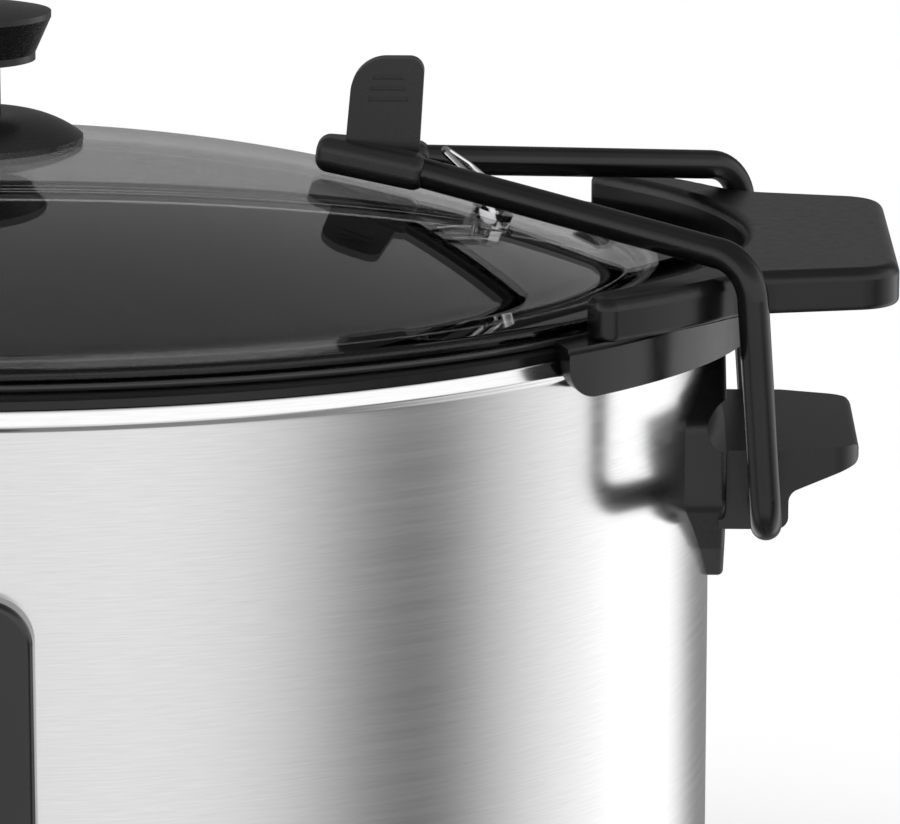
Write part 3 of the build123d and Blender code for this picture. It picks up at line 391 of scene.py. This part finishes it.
glassLid = gridMesh("glassLid", lidPoints, closedU=True, closedV=True)
glassLid.data.materials.append(finish["smokedGlass"])
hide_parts("lid_glass")
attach(glassLid, "lid")

# glazed band inside the crock's rim and the gasket's moulded lip and outer skin, with a painted highlight
# along raised edges;
# profiles of (offset from the oval, height from the flange's underside), and how strong the painted
# highlight is at each point
bandTurns = 480
bandValues = [
    {"name": "rimBand", "body": "housing", "slot": "stoneware", "halfLength": 141.0, "halfWidth": 108.0,
     "profile": [(1.3, -1.49), (0.7, -1.4), (0.2, -1.42), (-0.12, -1.6), (-0.2, -1.9), (-0.26, -2.3),
                 (-0.34, -2.5), (-0.6, -2.66), (-0.74, -2.9), (-0.74, -3.15), (-0.6, -3.38), (-0.2, -3.5)],
     "edge": [0.0, 0.2, 0.35, 0.4, 0.42, 0.42, 0.5, 1.0, 1.0, 1.0, 0.6, 0.2]},
    {"name": "gasketLip", "body": "lid", "slot": "rubber", "halfLength": 145.0, "halfWidth": 111.5,
     "profile": [(0.1, -0.04), (-2.3, -0.06), (-2.56, -0.16), (-2.64, -0.34), (-2.56, -0.54), (-2.4, -0.62),
                 (-2.4, -0.72), (-2.56, -0.8), (-2.64, -0.98), (-2.56, -1.12), (-2.3, -1.2), (0.1, -1.22)],
     "edge": [0.3, 0.7, 1.0, 1.0, 1.0, 0.1, 0.1, 1.0, 1.0, 0.9, 0.7, 0.3]},
    {"name": "gasketSkin", "body": "lid", "slot": "rubber", "halfLength": 154.0, "halfWidth": 120.5,
     "profile": [(-0.5, -1.36), (1.0, -1.35), (1.24, -1.26), (1.34, -1.04), (1.34, -0.4), (1.24, -0.14),
                 (1.0, -0.04), (-0.5, -0.03)],
     "edge": [0.0] * 8},
]
for band in bandValues:
    bandProfile = np.add(band["profile"], (0, flangeBottom))
    bandPoints = ovalRing(band["halfLength"], band["halfWidth"], bandProfile, bandTurns)
    ring = gridMesh(band["name"], bandPoints, closedU=True, closedV=True)
    # the edge values set where the painted highlight lies and how strong it is
    pointValues(ring, "edge", np.repeat(band["edge"], bandTurns))
    ring.data.materials.append(finish["rimPaintedHighlight"])
    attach(ring, band["body"])

# printed scale round the dial: low bars that grow with the heat, laid on the curve of the panel,
# y = ovalY - front * sqrt(1 - (x / half)^2); each bar is a loop of four corners whose ends sink in
scaleValues = {
    "front": 134.5, "half": 160.9, "inner": 21.3, "count": 10, "reach": 270.0, "width": 0.9, "short": 1.3,
    "grow": 0.1, "proud": 0.05, "sunk": 0.1, "rows": 6,
}
dialHeight = middleOf("dial_knob")[2]
sideways = np.array([-0.5, 0.5, 0.5, -0.5]) * scaleValues["width"]
proud = scaleValues["proud"]
sunk = -scaleValues["sunk"]
for step in range(scaleValues["count"]):
    swing = math.radians(scaleValues["reach"] * step / (scaleValues["count"] - 1))
    tip = scaleValues["inner"] + scaleValues["short"] + scaleValues["grow"] * step
    out = np.pad(np.linspace(scaleValues["inner"], tip, scaleValues["rows"]), 1, mode="edge")[:, None]
    barLift = np.tile([proud, proud, sunk, sunk], (len(out), 1))
    barLift[[0, -1]] = sunk
    barX = out * math.sin(swing) + sideways * math.cos(swing)
    barZ = dialHeight + out * math.cos(swing) - sideways * math.sin(swing)
    barY = ovalY - scaleValues["front"] * np.sqrt(1 - (barX / scaleValues["half"]) ** 2) - barLift
    barPoints = np.stack([barX, barY, barZ], -1) / perMetre
    dialBar = gridMesh("dialBar%02d" % (step + 1), barPoints, closedV=True, smooth=False)
    dialBar.data.materials.append(finish["whiteMark"])
    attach(dialBar, "housing")

# painted shade of the grommet's bore: a thin near-black disc just outside the wall, standing in for the
# hole's dark depth, turned from (radius, depth) pairs
boreValues = {
    "profile": [(0.05, 129.4), (3.9, 129.4), (3.9, 129.62), (2.0, 129.62), (0.05, 129.62)], "turns": 48,
}
boreHeight = middleOf("cord_grommet")[2]
boreReach, boreDepth = np.array(boreValues["profile"]).T[:, :, None]
boreTurn = turnAngles(boreValues["turns"])
borePoints = np.stack([boreReach * np.cos(boreTurn), np.repeat(ovalY + boreDepth, boreValues["turns"], 1),
                       boreHeight + boreReach * np.sin(boreTurn)], -1)[::-1] / perMetre
boreShade = gridMesh("boreShade", borePoints, closedU=True, closedV=True, smooth=False)
boreShade.data.materials.append(finish["paintedBoreShade"])
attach(boreShade, "housing")
print("stage: pieces built")


# pale floor that keeps the shadow near the object and runs out to plain white further off
floorValues = {"half": 6.0, "points": 3, "tone": 0.82, "rough": 0.9, "whiteFrom": 0.24, "whiteTo": 0.44}
floorLine = np.linspace(-floorValues["half"], floorValues["half"], floorValues["points"])
floorX, floorY = np.meshgrid(floorLine, floorLine)
floor = gridMesh("studioFloor", np.stack([floorX, floorY, np.zeros_like(floorX)], -1))
floorMat, floorTree, floorShader = newMaterial("paleFloor")
floorShader.inputs["Base Color"].default_value = (*grey(floorValues["tone"]), 1)
floorShader.inputs["Roughness"].default_value = floorValues["rough"]
floorCoords = floorTree.nodes.new("ShaderNodeTexCoord")
floorReach = floorTree.nodes.new("ShaderNodeVectorMath")
floorReach.operation = "LENGTH"
floorTree.links.new(floorCoords.outputs["Object"], floorReach.inputs[0])
floorFade = addNode(
    floorTree, "ShaderNodeMapRange", From_Min=floorValues["whiteFrom"], From_Max=floorValues["whiteTo"])
floorFade.interpolation_type = "SMOOTHSTEP"
floorTree.links.new(floorReach.outputs["Value"], floorFade.inputs["Value"])
floorPath = floorTree.nodes.new("ShaderNodeLightPath").outputs
floorSeen = mathNode(floorTree, "MAXIMUM", floorPath["Is Camera Ray"], floorPath["Is Transmission Ray"])
floorWhite = mathNode(floorTree, "MULTIPLY", floorFade.outputs["Result"], floorSeen)
floorGlow = floorTree.nodes.new("ShaderNodeEmission")
floorMix = floorTree.nodes.new("ShaderNodeMixShader")
floorTree.links.new(floorWhite, floorMix.inputs["Fac"])
floorTree.links.new(floorShader.outputs["BSDF"], floorMix.inputs[1])
floorTree.links.new(floorGlow.outputs["Emission"], floorMix.inputs[2])
floorTree.links.new(floorMix.outputs["Shader"], floorTree.nodes["Material Output"].inputs["Surface"])
floor.data.materials.append(floorMat)
floor.visible_glossy = False

# reflecting dome round the object, seen by glossy rays only; its brightness goes by azimuth and elevation:
# tone = low below eye level, front or rear above it, and one dark tone straight below
domeValues = {
    "radius": 3.0, "turns": 360,
    "rows": [-90, -75, -60, -50, -38, -30, -18, -12, -7, -5, -2, 0,
             3, 8, 12, 18, 24, 31, 38, 46, 56, 66, 78, 90],
    # (azimuth from the front in degrees, brightness) below eye level
    "lowTones": [(0, 0.84), (24, 0.90), (34, 0.85), (42, 0.74), (49, 0.52), (55, 0.30), (61, 0.16),
                 (67, 0.15), (72, 0.28), (78, 0.52), (84, 0.72), (91, 0.90), (100, 1.06), (110, 1.3),
                 (131, 1.35), (137, 1.05), (144, 0.42), (151, 0.24), (180, 0.24)],
    # (elevation in degrees, brightness) above eye level, in front and behind
    "frontTones": [(0, 1.18), (24, 1.18), (38, 0.55), (56, 0.32), (90, 0.26)],
    "rearTones": [(0, 0.26), (12, 0.17), (40, 0.13), (60, 0.16), (90, 0.26)],
    # degrees over which front gives way to rear, low to what is above, and the dark tone to low
    "rearTurns": (112, 136), "eyeLevel": (-7, 3), "underLevel": (-60, -38), "underTone": 0.26,
}
turn, rise = np.meshgrid(np.degrees(turnAngles(domeValues["turns"])), domeValues["rows"])
turnRad = np.radians(turn)
riseRad = np.radians(rise)
domePoints = domeValues["radius"] * np.stack(
    [np.cos(riseRad) * np.sin(turnRad), -np.cos(riseRad) * np.cos(turnRad), np.sin(riseRad)], -1)
dome = gridMesh("reflectingDome", domePoints, closedV=True)
fromFront = np.minimum(turn, 360 - turn)  # degrees to either side
low = np.interp(fromFront, *np.transpose(domeValues["lowTones"]))
front = np.interp(rise, *np.transpose(domeValues["frontTones"]))
rear = np.interp(rise, *np.transpose(domeValues["rearTones"]))
behind = np.interp(fromFront, domeValues["rearTurns"], (0, 1))
above = np.interp(rise, domeValues["eyeLevel"], (0, 1))
under = np.interp(rise, domeValues["underLevel"], (1, 0))
tone = low * (1 - above) + (front * (1 - behind) + rear * behind) * above
pointValues(dome, "tone", tone * (1 - under) + domeValues["underTone"] * under)
domeMat = bpy.data.materials.new("domeGlow")
domeMat.use_nodes = True
domeTree = domeMat.node_tree
domeTree.nodes.clear()
toneNode = domeTree.nodes.new("ShaderNodeAttribute")
toneNode.attribute_name = "tone"
domeGlow = domeTree.nodes.new("ShaderNodeEmission")
domeOut = domeTree.nodes.new("ShaderNodeOutputMaterial")
domeTree.links.new(toneNode.outputs["Fac"], domeGlow.inputs["Strength"])
domeTree.links.new(domeGlow.outputs["Emission"], domeOut.inputs["Surface"])
dome.data.materials.append(domeMat)
for ray in ("camera", "diffuse", "transmission", "shadow", "volume_scatter"):
    setattr(dome, "visible_" + ray, False)

# white world for camera, glossy and transmission rays, a plain level of light for the rest
worldValues = {"light": 0.55, "white": 1.0}
world = bpy.data.worlds.new("studioWorld")
bpy.context.scene.world = world
world.use_nodes = True
worldTree = world.node_tree
worldTree.nodes.clear()
worldPath = worldTree.nodes.new("ShaderNodeLightPath").outputs
worldSeen = mathNode(worldTree, "MAXIMUM", worldPath["Is Camera Ray"], worldPath["Is Glossy Ray"])
worldSeen = mathNode(worldTree, "MAXIMUM", worldSeen, worldPath["Is Transmission Ray"])
worldLevel = addNode(
    worldTree, "ShaderNodeMapRange", To_Min=worldValues["light"], To_Max=worldValues["white"])
worldTree.links.new(worldSeen, worldLevel.inputs["Value"])
background = addNode(worldTree, "ShaderNodeBackground", Color=(1, 1, 1, 1))
worldTree.links.new(worldLevel.outputs["Result"], background.inputs["Strength"])
worldOut = worldTree.nodes.new("ShaderNodeOutputWorld")
worldTree.links.new(background.outputs["Background"], worldOut.inputs["Surface"])

# soft lamps that all point at the middle of the object
lampAim = np.array([0, 0, 0.15])
lampValues = [
    {"name": "softLeft", "at": (-1.6, -1.5, 1.7), "size": 1.4, "watts": 22},
    {"name": "softRight", "at": (1.8, -0.9, 1.5), "size": 1.2, "watts": 16},
    {"name": "softTop", "at": (0.2, 0.4, 2.2), "size": 1.8, "watts": 18},
]
for lamp in lampValues:
    lampData = bpy.data.lights.new(lamp["name"], "AREA")
    lampData.size = lamp["size"]
    lampData.energy = lamp["watts"]
    light = bpy.data.objects.new(lamp["name"], lampData)
    bpy.context.scene.collection.objects.link(light)
    light.location = lamp["at"]
    light.visible_glossy = False
    light.visible_transmission = False
    aimX, aimY, aimZ = lampAim - lamp["at"]
    light.rotation_euler = (math.atan2(math.hypot(aimX, aimY), -aimZ), 0, math.atan2(-aimX, aimY))

# camera at the photograph's viewing angle: place in metres, turn in degrees, lens and sensor in mm
cameraValues = {
    "at": (0.13585, ovalY / perMetre - 1.11108, 0.41255), "turn": (77.82, 0.0, 1.777),
    "lens": 216.0, "sensor": 36.0,
}
cameraData = bpy.data.cameras.new("photoCamera")
cameraData.sensor_fit = "HORIZONTAL"
cameraData.sensor_width = cameraValues["sensor"]
cameraData.lens = cameraValues["lens"]
camera = bpy.data.objects.new("photoCamera", cameraData)
camera.location = cameraValues["at"]
camera.rotation_euler = np.radians(cameraValues["turn"])
bpy.context.scene.collection.objects.link(camera)
bpy.context.scene.camera = camera
bpy.context.scene.view_settings.view_transform = "Standard"
print("stage: studio set")
